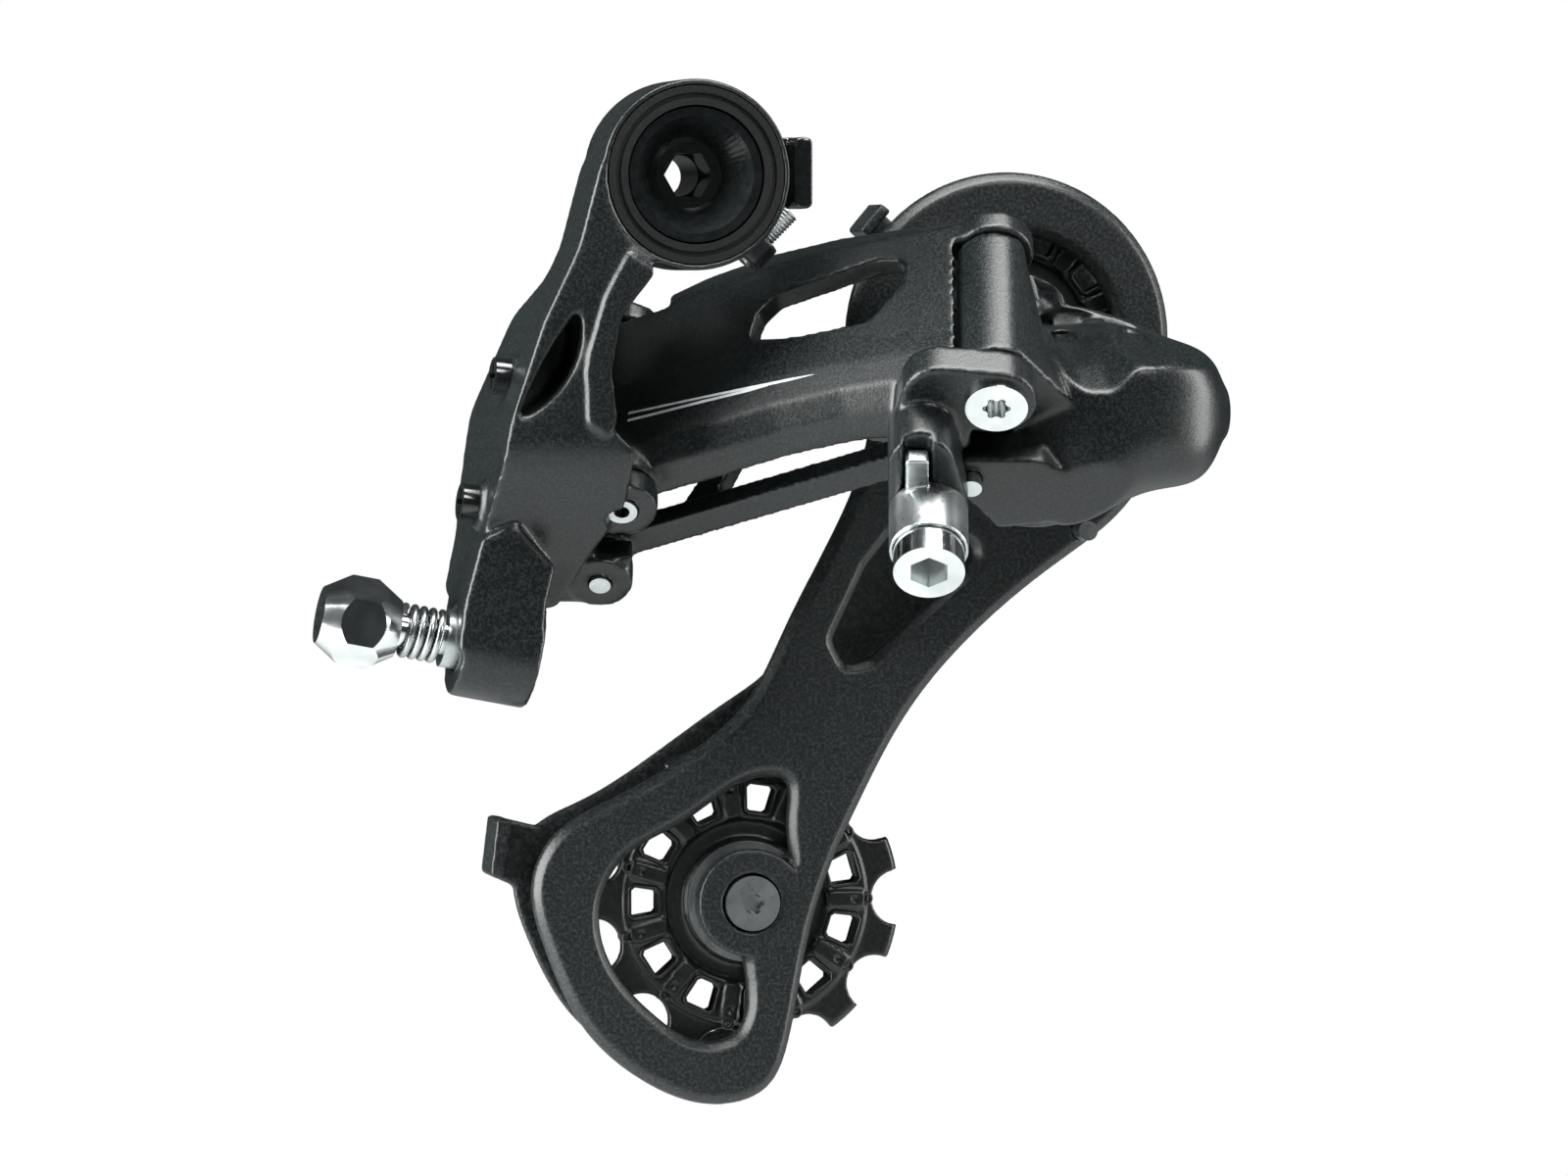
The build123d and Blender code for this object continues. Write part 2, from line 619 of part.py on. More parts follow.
def make_inner_link():
    spring_start, spring_end = return_spring_span
    link = pin_post(upper_inner, inner_barrel_radius, link_high, spring_start)
    link += pin_post(upper_inner, inner_barrel_radius, spring_end, link_low)
    link += pin_post(lower_inner, inner_barrel_radius - 0.2, lower_barrel_high, lower_barrel_low + 0.5)
    plane = link_plane(upper_inner)
    end = link_length - 3
    frame = outline([(3, 5.2), (end, 5.8), (end, 28.8), (40, 28.8), (26, 26.0), (19, 23.5), (14, 29.0),
                     (8, 32.6), (3, 33.0)])
    windows = [
        [(6, 9.0), (13, 9.0), (17, 15.5), (9, 22.5), (6, 22.5)],
        [(18, 9.2), (46, 9.8), (29, 21.8), (22.5, 18.5)],
        [(49, 12), (49, 25.0), (41, 25), (32.5, 23.0)],
    ]
    for window in windows:
        frame = frame - outline(window, 0.8)
    link += extrude(plane.offset(-inner_link_thickness / 2) * frame, amount=inner_link_thickness)
    rail = outline([(3, 5.2), (end, 5.8), (end, 9.0), (3, 8.4)])
    link += extrude(plane.offset(-inner_rail_thickness / 2) * rail, amount=inner_rail_thickness)
    spring_room = return_spring_radius + return_spring_wire + swing_room
    link -= pin_post(upper_inner, spring_room, spring_start, spring_end)
    link -= pin_post(upper_inner, inner_pin_radius + running_fit, -through, through)
    link -= pin_post(lower_inner, inner_pin_radius + open_pivot_gap, -through, through)
    link -= pin_post(upper_outer, link_barrel_radius + swing_room, -through, through)
    # the cage plate's top swings past the middle of the link
    widest = max(guide_disc_radius, tooth_tip_radius)
    cage_reach = upper_pulley_place[1] - cage_pivot[1] + widest + swing_room
    return link - post(*cage_pivot, cage_reach, outer_plate_y - face_gap, through)


def make_return_spring():
    plane = Plane(
        origin=pin_plane.from_local_coords(Vector(*upper_inner, 0)),
        x_dir=across,
        z_dir=down_pins,
    )
    start = return_spring_span[0] + return_spring_wire + face_gap
    length = return_spring_span[1] - return_spring_wire - face_gap - start
    return coil(plane, return_spring_radius, return_spring_wire, start, length, return_spring_turns)


def make_pin(place, radius, start, end, bore=0.0):
    pin = pin_post(place, radius, start, end)
    if bore:
        pin = pin - pin_post(place, bore, start, end)
    return pin


def make_lower_outer_pin():
    pin = pin_post(lower_outer, outer_pin_radius, lower_clevis_top, 0)
    head = pin_post(lower_outer, torx_head_radius, 0, torx_head_height)
    lobes = Circle(1.5)
    for turn in range(6):
        lobes = lobes + Rot(0, 0, turn * 60) * Pos(1.45, 0) * Circle(0.5)
    recess = along_pins(Pos(*lower_outer) * lobes, torx_head_height - torx_depth, torx_head_height)
    return pin + head - recess


def make_clamp_bolt():
    under = clamp_seat + clamp_washer_thickness
    head = pin_post(clamp_place, clamp_head_radius, under, under + clamp_head_height)
    thread = pin_post(clamp_place, clamp_thread_radius, clamp_thread_end, under)
    hexagon_face = Pos(*clamp_place) * Rot(0, 0, 30) * hexagon(clamp_socket_flats)
    top = under + clamp_head_height
    return head + thread - along_pins(hexagon_face, top - clamp_socket_depth, top)


def make_clamp_washer():
    end = clamp_seat + clamp_washer_thickness
    washer = pin_post(clamp_place, clamp_washer_radius, clamp_seat, end + clamp_cup_height)
    washer -= pin_post(clamp_place, clamp_head_radius + running_fit, end, through)
    left, right, tip = clamp_tongue
    middle = (clamp_place[1] + tip) / 2
    tongue = Pos((left + right) / 2, middle) * RectangleRounded(right - left, tip - clamp_place[1], 0.6)
    washer += along_pins(tongue, clamp_seat - clamp_tongue_drop, end)
    lug = pin_post(clamp_place, clamp_lug_radius + face_gap, 0, clamp_seat)
    return washer - lug - pin_post(clamp_place, clamp_thread_radius + running_fit, 0, through)


# ---- lower body ----------------------------------------------------------------------------
def lower_shell():
    """The body from the cage pivot forward to its nose, through rounded sections along X."""
    sections = []
    for x, outer_y, inner_y, low, high, corner in nose_stations:
        middle = (x, (outer_y + inner_y) / 2, (low + high) / 2)
        plane = Plane(origin=middle, x_dir=(0, 1, 0), z_dir=(1, 0, 0))
        sections.append(plane * RectangleRounded(inner_y - outer_y, high - low, corner))
    return loft(sections)


def lower_clevis():
    """Barrel for the outer pin and the two ears for the inner pin."""
    barrel = pin_post(lower_outer, lower_barrel_radius, lower_barrel_high, lower_barrel_low)
    web = capsule(lower_outer, lower_barrel_radius, (58, 13), 5)
    clevis = barrel + along_pins(web, lower_barrel_high + 5, lower_barrel_low)
    lower_ear = outline([(47.5, 10.8), (58, 10.6), (62.6, 7.4), (61.9, 1.4), (58.6, -1.8), (52, -2.6),
                         (48.2, 2.6), (45.4, 4.4), (44.6, 9)], 1.2)
    clevis += along_pins(lower_ear, lower_barrel_low + 2 * side_gap, lower_ear_end)
    upper_ear = capsule(lower_inner, inner_barrel_radius, (56, 9), 6)
    clevis += along_pins(upper_ear, lower_clevis_top, lower_barrel_high - side_gap)
    return clevis


def make_lower_body():
    px, pz = cage_pivot
    ear_start = lower_barrel_low + 2 * side_gap
    room_start = lower_barrel_high - side_gap
    body = lower_shell() + post(px, pz, housing_flange_radius, -8, housing_face_y) + lower_clevis()
    # flat seat across the pins where the lower ear ends
    body -= along_pins(Rectangle(4 * through, 4 * through), lower_ear_end, through)
    # room for the links
    body -= pin_post(lower_outer, lower_eye_radius + side_gap, lower_barrel_low, through)
    body -= pin_post(lower_outer, lower_eye_radius + side_gap, -through, lower_barrel_high)
    body -= pin_post(lower_inner, inner_barrel_radius + swing_room, room_start, ear_start)
    sweep_room = outline([(49, 11.4), (44.5, 11.4), (30, 22), (20, 0), (40, -8), (49, 2.6)])
    body -= along_pins(sweep_room, room_start, ear_start)
    body -= pin_post(lower_outer, outer_pin_radius + running_fit, -through, through)
    body -= pin_post(lower_inner, inner_pin_radius + seat_fit, -through, through)
    # the cage spring's housing and the axle's bore
    body -= post(px, pz, cage_spring_room_radius, housing_face_y - cage_spring_room_depth, through)
    body -= post(px, pz, cage_axle_radius + running_fit, cage_axle_outer_y - side_gap, through)
    return body - nose_pockets()


def nose_pockets():
    """Two pockets in the top of the nose, with a rib left between them."""
    pockets = Part()
    for x, width in pocket_places:
        mouth = Plane(origin=(x, pocket_y, pocket_floor_z)) * RectangleRounded(width, pocket_length, 1.8)
        pockets += extrude(mouth, amount=through)
    return pockets


def make_cage_spring():
    axis = Plane(origin=(cage_pivot[0], 0, cage_pivot[1]), x_dir=(1, 0, 0), z_dir=(0, 1, 0))
    end_room = cage_spring_wire + face_gap
    start = housing_face_y - cage_spring_room_depth + end_room
    length = cage_spring_room_depth - 2 * end_room
    return coil(axis, cage_spring_radius, cage_spring_wire, start, length, cage_spring_turns)


def make_cage_axle():
    px, pz = cage_pivot
    start = cage_axle_outer_y
    axle = post(px, pz, cage_axle_radius, start, outer_plate_y + outer_plate_thickness)
    return axle + post(px, pz, cage_axle_flange_radius, housing_face_y + face_gap, outer_plate_y)


def make_cage_stop_pin():
    return post(*stop_pin_place, stop_pin_radius, stop_pin_start_y, stop_pin_end_y)


# ---- chain cage ----------------------------------------------------------------------------
def cage_arm():
    """The outer plate's arm and foot, with its hollow front edge."""
    points = [
        (27.2, -20), (28.6, -42), (23.8, -52.6), (17.7, -64.4), (12.6, -74), (4.0, -81.6), (-8, -88.2),
        (-15.6, -93.0), (-18.6, -99.5), (-16.9, -108.4), (-10.6, -121.0), (-2.2, -128.2),
        (8.5, -131.5), (15.2, -129.2), (18.4, -122.5), (20.4, -112), (24.1, -98.7), (28.8, -88.4),
        (35.6, -76.2), (46.3, -64.0), (57, -55.4), (68.7, -45.6), (73.4, -33), (73.4, -20),
    ]
    return make_face(Polyline(points[-1], (50, -20), points[0]) + Spline(*points))


def d_window():
    """The opening round the lower pulley, before its hub's lobe is put back."""
    edge = [
        (17.2, -85.2), (14.6, -85.0), (3.2, -91.2), (-5.4, -96.2), (-8.9, -103.4), (-7.4, -111.0),
        (-1.0, -118.6), (6.0, -122.4), (10.6, -121.4), (12.4, -116.0), (12.4, -106), (17.6, -101),
        (18.2, -90),
    ]
    return make_face(Spline(*edge, periodic=True))


def arm_window():
    """The three-cornered opening below the cage pivot."""
    return outline([(33.6, -50.2), (29.6, -55.2), (24.6, -65.6), (26.4, -69.2), (30.0, -68.4),
                    (43.8, -56.2), (46.0, -52.4)], 1.4)


def guide_window():
    """The crescent opening above the upper pulley's hub."""
    ux, uz = upper_pulley_place
    ring = Pos(ux, uz) * (Circle(guide_window_outer) - Circle(guide_window_inner))
    crescent = ring - Pos(ux, uz - 13) * Rectangle(60, 26)
    return fillet(crescent.vertices(), 1.2)


def bevelled_window(plate, window):
    """Cut a window through the outer plate and bevel its outboard rim."""
    far = outer_plate_y + outer_plate_thickness
    plate = plate - along_y(window, outer_plate_y - 1, far + 1)
    limits = window.bounding_box()
    rim = []
    for edge in plate.edges():
        box = edge.bounding_box()
        flat = abs(box.min.Y - outer_plate_y) + abs(box.max.Y - outer_plate_y) < 0.02
        beside = box.min.X > limits.min.X - 0.1 and box.max.X < limits.max.X + 0.1
        level = box.min.Z > limits.min.Y - 0.1 and box.max.Z < limits.max.Y + 0.1
        if flat and beside and level:
            rim.append(edge)
    return chamfer(rim, plate_chamfer)


def make_outer_cage_plate():
    far = outer_plate_y + outer_plate_thickness
    ux, uz = upper_pulley_place
    blank = cage_arm() + Pos(ux - 1, uz) * Circle(guide_disc_radius)
    plate = along_y(blank, outer_plate_y, far)
    rim = [edge for edge in plate.edges() if abs(edge.center().Y - outer_plate_y) < 0.01]
    plate = chamfer(rim, plate_chamfer)
    for window in (d_window(), arm_window(), guide_window()):
        plate = bevelled_window(plate, window)
    plate += post(*lower_pulley_place, hub_lobe_radius, outer_plate_y, far)
    px, pz = cage_pivot
    plate -= post(px, pz, cage_axle_radius + seat_fit, 0, through)
    for x, z in (upper_pulley_place, lower_pulley_place):
        plate -= post(x, z, pulley_bolt_radius + seat_fit, 0, through)
        plate -= post(x, z, pulley_bolt_head_radius + face_gap, 0, outer_plate_y + bolt_seat_depth)
    return plate - post(*stop_pin_place, stop_pin_radius + seat_fit, 0, stop_pin_end_y)


def inner_plate_profile():
    ux, uz = upper_pulley_place
    lx, lz = lower_pulley_place
    points = [
        (38.4, -24), (33.0, -40), (26.2, -54), (17.3, -70.5), (11.2, -74.9), (-0.3, -82.9), (-10.2, -88.8),
        (-16.8, -92.5), (-19.6, -99.0), (-17.4, -108.6), (-10.6, -120.0), (0.5, -126.6), (10.5, -127.0),
        (17.6, -119), (22.0, -104), (28.0, -88), (36, -74), (47, -61), (57.0, -49), (63.4, -36), (64.0, -24),
    ]
    arm = make_face(Polyline(points[-1], points[0]) + Spline(*points))
    window = d_window() - Pos(lx, lz) * Circle(hub_lobe_radius)
    plate = arm + Pos(ux, uz) * Circle(inner_disc_radius)
    plate = plate + outline([(48, -50), (56.6, -55.6), (63.2, -51.2), (60, -40)])
    return plate - window


def make_inner_cage_plate():
    plate = along_y(inner_plate_profile(), inner_plate_y, inner_plate_far_y)
    clear_y = outer_plate_y + outer_plate_thickness + guard_gap
    # chain-guard tabs folded outboard: at the foot, at the front and over the upper pulley
    foot = outline([(-23.2, -90.4), (-16.0, -92.2), (-18.4, -101.2), (-24.2, -98.6)], 0.8)
    plate += along_y(foot, inner_plate_y, inner_plate_far_y)
    foot_fold = outline([(-23.2, -90.4), (-21.0, -90.8), (-22.2, -99.4), (-24.2, -98.6)], 0.5)
    plate += along_y(foot_fold, clear_y, inner_plate_far_y)
    front_fold = outline([(56.6, -55.6), (63.2, -51.2), (62.0, -49.4), (55.2, -53.6)], 0.5)
    plate += along_y(front_fold, clear_y, inner_plate_far_y)
    fold_start = tooth_tip_radius + over_tab_room
    fold_end = fold_start + over_tab_fold
    tab_start = inner_disc_radius - 2
    strip = Pos((tab_start + fold_end) / 2, 0) * Rectangle(fold_end - tab_start, over_tab_width)
    fold = Pos((fold_start + fold_end) / 2, 0) * Rectangle(over_tab_fold, over_tab_width)
    place = Pos(*upper_pulley_place) * Rot(0, 0, over_tab_turn)
    plate += along_y(place * strip, inner_plate_y, inner_plate_far_y)
    plate += along_y(place * fold, clear_y, inner_plate_far_y)
    for x, z in (upper_pulley_place, lower_pulley_place):
        plate -= post(x, z, pulley_bolt_radius + seat_fit, 0, through)
    return plate


# ---- pulleys -------------------------------------------------------------------------------
def make_pulley(place, first_tooth):
    """A toothed plastic wheel with windows between raised pads, drawn about its own axis."""
    blank = Circle(tooth_tip_radius)
    for index in range(tooth_count):
        turn = Rot(0, 0, first_tooth + (index + 0.5) * 360 / tooth_count)
        blank -= turn * Pos(pulley_pitch_radius, 0) * Circle(roller_radius)
    half = tooth_thickness / 2
    teeth = along_y(blank, -half, half)
    tips = post(0, 0, tooth_tip_radius, -half, half)
    tip_edges = [edge for edge in tips.edges() if edge.geom_type == GeomType.CIRCLE]
    teeth = teeth & chamfer(tip_edges, tip_chamfer)
    web_half = web_thickness / 2
    hub_half = plate_gap / 2 - pulley_side_gap - cap_thickness
    wheel = teeth + post(0, 0, web_radius, -web_half, web_half)
    wheel += post(0, 0, hub_radius, -hub_half, hub_half)
    groove = Circle(web_groove_radius) - Circle(hub_radius + rim_groove)
    wheel -= along_y(groove, -web_half, -web_half + rim_groove)
    for index in range(tooth_count):
        turn = Rot(0, 0, first_tooth + index * 360 / tooth_count)
        middle = (window_inner + window_outer) / 2
        wide = window_width * 1.2
        narrow = window_width * 0.85
        height = window_outer - window_inner
        window = outline([(window_inner, -narrow / 2), (window_outer, -wide / 2),
                          (window_outer, wide / 2), (window_inner, narrow / 2)], 0.5)
        wheel -= along_y(turn * window, -hub_half, hub_half)
        pad_turn = Rot(0, 0, first_tooth + (index + 0.5) * 360 / tooth_count)
        pad = pad_turn * Pos(middle, 0) * RectangleRounded(height + pad_overlap, pad_width, 0.5)
        wheel += along_y(pad, -web_half - pad_height, -web_half)
        wheel += along_y(pad, web_half, web_half + pad_height)
        dimple = pad_turn * Pos(middle + pad_overlap, 0) * Circle(dimple_radius)
        wheel -= along_y(dimple, -web_half - pad_height, -web_half)
    wheel -= post(0, 0, bushing_radius + running_fit, -hub_half, hub_half)
    return Pos(place[0], chain_line_y, place[1]) * wheel


def make_dust_caps(place):
    """The two steel caps that close a pulley's hub."""
    ring = Circle(cap_radius) - Circle(bushing_radius + running_fit)
    reach = plate_gap / 2 - pulley_side_gap
    caps = along_y(ring, -reach, -reach + cap_thickness) + along_y(ring, reach - cap_thickness, reach)
    return Pos(place[0], chain_line_y, place[1]) * caps


def make_pulley_bushing(place):
    ring = Pos(*place) * (Circle(bushing_radius) - Circle(pulley_bolt_radius + seat_fit))
    return along_y(ring, outer_plate_y + outer_plate_thickness, inner_plate_y)


def make_pulley_bolt(place):
    head_top = outer_plate_y + bolt_seat_depth
    x, z = place
    bolt = post(x, z, pulley_bolt_head_radius, head_top - pulley_bolt_head_height, head_top)
    bolt += post(x, z, pulley_bolt_radius, head_top, inner_plate_far_y)
    recess = Circle(1.25)
    for turn in range(6):
        recess = recess + Rot(0, 0, turn * 60) * Pos(1.2, 0) * Circle(0.42)
    low = head_top - pulley_bolt_head_height
    return bolt - along_y(Pos(x, z) * recess, low, low + pulley_bolt_recess)


# ---- build ---------------------------------------------------------------------------------
os.makedirs("parts", exist_ok=True)
limit_high, limit_low = limit_planes()

save(make_hanger_bolt(), "hanger_bolt")
save(make_hanger_circlip(), "hanger_circlip")
save(make_b_pivot_bushing(), "b_pivot_bushing")
save(make_stop_plate(), "stop_plate")
save(make_b_pivot_spring(), "b_pivot_spring")
save(make_dust_seal(), "dust_seal")
save(make_angle_screw(), "b_angle_screw")
save(make_upper_body(), "upper_body")
save(make_limit_screw(limit_high), "limit_screw_high")
save(make_limit_screw(limit_low), "limit_screw_low")
save(make_barrel_adjuster(), "barrel_adjuster")
save(make_adjuster_spring(), "adjuster_spring")
save(make_adjuster_bush(), "adjuster_bush")
pin_top = clevis_top - ear_thickness
upper_pin = make_pin(upper_outer, outer_pin_radius, pin_top, face_gap, outer_pin_bore_radius)
save(upper_pin, "upper_outer_pin")
save(make_pin(upper_inner, inner_pin_radius, pin_top, 1 + face_gap), "upper_inner_pin")
save(make_return_spring(), "return_spring")
save(make_outer_link(), "outer_link")
save(make_clamp_bolt(), "clamp_bolt")
save(make_clamp_washer(), "clamp_washer")
save(make_lower_outer_pin(), "lower_outer_pin")
save(make_inner_link(), "inner_link")
save(make_pin(lower_inner, inner_pin_radius, lower_clevis_top, inner_pin_proud), "lower_inner_pin")
save(make_lower_body(), "lower_body")
save(make_cage_spring(), "cage_spring")
save(make_cage_axle(), "cage_axle")
save(make_cage_stop_pin(), "cage_stop_pin")
save(make_outer_cage_plate(), "outer_cage_plate")
save(make_inner_cage_plate(), "inner_cage_plate")
for name, place, first_tooth in (("upper", upper_pulley_place, 4.0), ("lower", lower_pulley_place, 16.3)):
    save(make_pulley(place, first_tooth), name + "_pulley")
    save(make_dust_caps(place), name + "_dust_caps")
    save(make_pulley_bushing(place), name + "_pulley_bushing")
    save(make_pulley_bolt(place), name + "_pulley_bolt")
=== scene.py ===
# %% [markdown]
# A rear bicycle derailleur. The metal and plastic pieces arrive as a fixed frame, already at
# their real size and place. This lesson gives them their finishes, rounds the cast bodies,
# winds the springs and cuts the threads, and lights the whole like a catalogue piece.

# %% Load the frame
import json
import math

import bmesh
import bpy
from mathutils import Matrix, Vector
from mathutils.bvhtree import BVHTree


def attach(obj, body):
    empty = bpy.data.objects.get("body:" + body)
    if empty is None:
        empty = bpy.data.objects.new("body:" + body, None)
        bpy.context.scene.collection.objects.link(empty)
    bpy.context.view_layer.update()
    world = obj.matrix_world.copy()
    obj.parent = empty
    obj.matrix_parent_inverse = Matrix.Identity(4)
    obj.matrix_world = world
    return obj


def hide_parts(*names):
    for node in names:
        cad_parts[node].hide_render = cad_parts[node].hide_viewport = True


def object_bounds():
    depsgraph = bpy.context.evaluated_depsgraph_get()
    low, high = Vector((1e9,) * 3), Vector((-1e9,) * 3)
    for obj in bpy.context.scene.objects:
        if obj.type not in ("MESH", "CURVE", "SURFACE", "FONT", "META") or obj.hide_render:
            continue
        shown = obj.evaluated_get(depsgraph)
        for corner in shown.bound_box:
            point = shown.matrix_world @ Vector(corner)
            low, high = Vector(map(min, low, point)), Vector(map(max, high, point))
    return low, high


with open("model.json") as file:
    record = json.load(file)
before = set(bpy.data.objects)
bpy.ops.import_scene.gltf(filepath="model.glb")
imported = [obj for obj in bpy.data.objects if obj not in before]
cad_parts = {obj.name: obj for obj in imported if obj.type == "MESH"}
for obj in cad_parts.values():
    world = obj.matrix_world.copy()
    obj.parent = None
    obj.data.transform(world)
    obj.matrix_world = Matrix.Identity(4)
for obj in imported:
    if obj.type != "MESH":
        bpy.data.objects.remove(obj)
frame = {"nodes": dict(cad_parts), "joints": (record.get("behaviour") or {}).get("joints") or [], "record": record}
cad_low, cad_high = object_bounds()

MM = 0.001
nodes = frame["nodes"]
slot_of = {part["node"]: part["material_slot"] for part in frame["record"]["subparts"]}
body_of = {node: body for body, members in frame["record"]["behaviour"]["bodies"].items() for node in members}
joint = {row["name"]: row for row in frame["joints"]}
print("frame:", len(nodes), "nodes,", len(joint), "joints, box", tuple(cad_high - cad_low))

# %% [markdown]
# A long lens from a metre away keeps the perspective flat, as catalogue pictures have it. The
# camera stands a little to the rear of square-on and a touch above the linkage.

# %% Camera
VIEW_AZIMUTH = math.radians(-12)
VIEW_ELEVATION = math.radians(2.5)
VIEW_DISTANCE = 1.0
LENS = 167.0
LOOK_AT = Vector((11.15, -22.9, -56.8)) * MM


def towards(azimuth, elevation):
    """Unit vector from the object to a viewer or lamp at these angles."""
    flat = math.cos(elevation)
    return Vector((math.sin(azimuth) * flat, -math.cos(azimuth) * flat, math.sin(elevation)))


camera = bpy.data.objects.new("camera", bpy.data.cameras.new("camera"))
back = towards(VIEW_AZIMUTH, VIEW_ELEVATION)
camera.location = LOOK_AT + back * VIEW_DISTANCE
camera.rotation_euler = (-back).to_track_quat("-Z", "Y").to_euler()
camera.data.lens = LENS
camera.data.clip_end = 400
bpy.context.scene.collection.objects.link(camera)
bpy.context.scene.camera = camera
print("camera at", tuple(round(x, 3) for x in camera.location))

# %% [markdown]
# Dark satin castings read by what they reflect. Large soft panels at the rear side, overhead
# and low in front draw long highlights on the ridges, and a dim surround keeps the faces dark.

# %% Lights and surround
def softbox(name, azimuth, elevation, distance, width, height, power):
    """A rectangular area lamp that faces the middle of the object."""
    lamp = bpy.data.lights.new(name, "AREA")
    lamp.shape = "RECTANGLE"
    lamp.size, lamp.size_y = width, height
    lamp.energy = power
    holder = bpy.data.objects.new(name, lamp)
    side = towards(math.radians(azimuth), math.radians(elevation))
    holder.location = LOOK_AT + side * distance
    holder.rotation_euler = (-side).to_track_quat("-Z", "Y").to_euler()
    bpy.context.scene.collection.objects.link(holder)
    return holder


softbox("rear_panel", -84, 10, 0.8, 0.5, 0.9, 20)
softbox("top_panel", 10, 78, 0.8, 0.9, 0.35, 14)
softbox("front_strip", 82, 8, 0.9, 0.2, 0.9, 7)
softbox("front_fill", 24, 34, 1.3, 0.35, 0.35, 5)

world = bpy.data.worlds.new("surround")
world.use_nodes = True
bpy.context.scene.world = world
surround = world.node_tree
surround.nodes.clear()
dim = surround.nodes.new("ShaderNodeBackground")
dim.inputs["Color"].default_value = (0.86, 0.95, 0.95, 1)
dim.inputs["Strength"].default_value = 0.05
white = surround.nodes.new("ShaderNodeBackground")
white.inputs["Color"].default_value = (1, 1, 1, 1)
white.inputs["Strength"].default_value = 1.0
seen = surround.nodes.new("ShaderNodeLightPath")
choose = surround.nodes.new("ShaderNodeMixShader")
sky = surround.nodes.new("ShaderNodeOutputWorld")
surround.links.new(seen.outputs["Is Camera Ray"], choose.inputs[0])
surround.links.new(dim.outputs[0], choose.inputs[1])
surround.links.new(white.outputs[0], choose.inputs[2])
surround.links.new(choose.outputs[0], sky.inputs["Surface"])
bpy.context.scene.view_settings.view_transform = "Standard"

# %% [markdown]
# The floor is a plain pale sheet well below the part, bright enough to bounce light up into
# the underside of the linkage.

# %% Floor
FLOOR_DROP = 0.25
FLOOR_SIZE = 400.0
floor_mesh = bpy.data.meshes.new("floor")
half = FLOOR_SIZE / 2
floor_z = cad_low.z - FLOOR_DROP
floor_mesh.from_pydata(
    [(-half, -half, floor_z), (half, -half, floor_z), (half, half, floor_z), (-half, half, floor_z)], [], [(0, 1, 2, 3)])
floor = bpy.data.objects.new("floor", floor_mesh)
bpy.context.scene.collection.objects.link(floor)

# %% [markdown]
# Each finish is a small sum of textures. The class below lets that sum be written as plain
# arithmetic: every + or * on a value adds the Math node that does it.

# %% Shader arithmetic
class Value:
    """A socket that can be added, multiplied and subtracted."""

    def __init__(self, finish, socket):
        self.finish, self.socket = finish, socket

    def sum_of(self, operation, first, second):
        return self.finish.node("ShaderNodeMath", {"operation": operation}, {0: first, 1: second})

    def __add__(self, other):
        return self.sum_of("ADD", self, other)

    __radd__ = __add__

    def __mul__(self, other):
        return self.sum_of("MULTIPLY", self, other)

    __rmul__ = __mul__

    def __sub__(self, other):
        return self.sum_of("SUBTRACT", self, other)

    def __rsub__(self, other):
        return self.sum_of("SUBTRACT", other, self)


class Finish:
    """A material whose nodes are added one call at a time."""

    def __init__(self, name):
        self.material = bpy.data.materials.new(name)
        self.material.use_nodes = True
        self.tree = self.material.node_tree
        self.shader = self.tree.nodes["Principled BSDF"]

    def node(self, kind, settings=None, inputs=None, output=0):
        made = self.tree.nodes.new(kind)
        for key, value in (settings or {}).items():
            if key == "stops":
                set_stops(made.color_ramp, value)
            else:
                setattr(made, key, value)
        for key, value in (inputs or {}).items():
            self.feed(made.inputs[key], value)
        return Value(self, made.outputs[output])

    def feed(self, socket, value):
        if isinstance(value, Value):
            self.tree.links.new(value.socket, socket)
        else:
            socket.default_value = value

    def set(self, **values):
        for key, value in values.items():
            self.feed(self.shader.inputs[key.replace("_", " ")], value)
        return self

    def place(self):
        return self.node("ShaderNodeTexCoord", output="Object")

    def noise(self, scale, detail=2.0, roughness=0.5, stretch=None):
        where = self.place()
        if stretch:
            where = self.node("ShaderNodeMapping", {}, {"Vector": where, "Scale": stretch})
        sizes = {"Vector": where, "Scale": scale, "Detail": detail, "Roughness": roughness}
        return self.node("ShaderNodeTexNoise", {}, sizes)

    def ramp(self, value, stops):
        return self.node("ShaderNodeValToRGB", {"stops": stops}, {"Fac": value})

    def bump(self, height, distance, strength=1.0):
        return self.node("ShaderNodeBump", {}, {"Height": height, "Distance": distance, "Strength": strength})


def set_stops(color_ramp, stops):
    while len(color_ramp.elements) < len(stops):
        color_ramp.elements.new(0.5)
    for element, (position, colour) in zip(color_ramp.elements, stops):
        element.position = position
        element.color = (*colour, 1)


# %% [markdown]
# The cast pieces are glass-filled plastic: nearly black, with fibres that make a fine pale
# speckle, a slightly pebbled skin, and patches where handling has polished it.

# %% Speckled black finishes
def speckled_black(name, dark, pale, grain, gloss, relief):
    finish = Finish(name)
    fine = finish.noise(grain, 3.0, 0.65)
    broad = finish.noise(60.0, 2.0)
    fleck = finish.ramp(fine, [(0.46, dark), (0.62, pale)])
    rough = gloss + 0.16 * fine - 0.10 * broad
    bump = finish.bump(fine + 0.25 * finish.noise(grain * 0.4, 2.0), relief)
    return finish.set(Base_Color=fleck, Roughness=rough, Normal=bump, Specular_IOR_Level=0.55)


